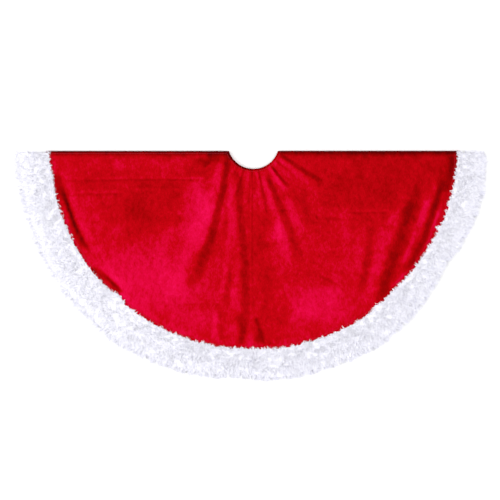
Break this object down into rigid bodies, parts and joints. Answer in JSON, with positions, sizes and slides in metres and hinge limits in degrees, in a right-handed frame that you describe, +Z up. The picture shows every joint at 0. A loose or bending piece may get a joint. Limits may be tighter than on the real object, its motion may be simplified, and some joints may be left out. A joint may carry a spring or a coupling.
{
  "type": "tree skirt",
  "caption": "Plush half-round tree skirt folded in two, with a long-pile fur border, a trunk hole, a slit with hook-and-loop tabs, and an upper half that opens to a full circle.",
  "frame": {"origin": "middle of the trunk hole on the fold line, at floor level", "axes": "+X along the fold line with the slit on the -X side, the folded skirt lies on the -Y side, +Z up from the floor"},
  "size_m": [1.2196, 0.5948, 0.0123],
  "materials": {
    "red_plush": "crushed plush",
    "lining": "plain weave, slight sheen",
    "faux_fur": "long soft pile",
    "thread": "polyester thread",
    "hook_tape": "nylon hooks",
    "loop_tape": "brushed loops",
    "label": "satin ribbon, blank"
  },
  "bodies": {
    "back_half": {"back_cover": "red_plush", "back_lining": "lining", "back_trim_left": "faux_fur", "back_trim_right": "faux_fur", "back_trim_stitching": "thread", "back_neck_stitching": "thread", "back_slit_stitching": "thread", "loop_tab_neck": "loop_tape", "loop_tab_middle": "loop_tape", "loop_tab_hem": "loop_tape", "loop_tab_stitching": "thread", "care_label": "label"},
    "front_half": {"front_cover": "red_plush", "front_lining": "lining", "front_trim_left": "faux_fur", "front_trim_right": "faux_fur", "front_trim_stitching": "thread", "front_neck_stitching": "thread", "front_slit_stitching": "thread", "hook_tab_neck": "hook_tape", "hook_tab_middle": "hook_tape", "hook_tab_hem": "hook_tape", "hook_tab_stitching": "thread"}
  },
  "joints": [
    {"name": "fold", "type": "hinge", "parent": "back_half", "child": "front_half", "pos_m": [0, 0, 0.00615], "axis": [-1, 0, 0], "range_deg": [0, 180]}
  ]
}
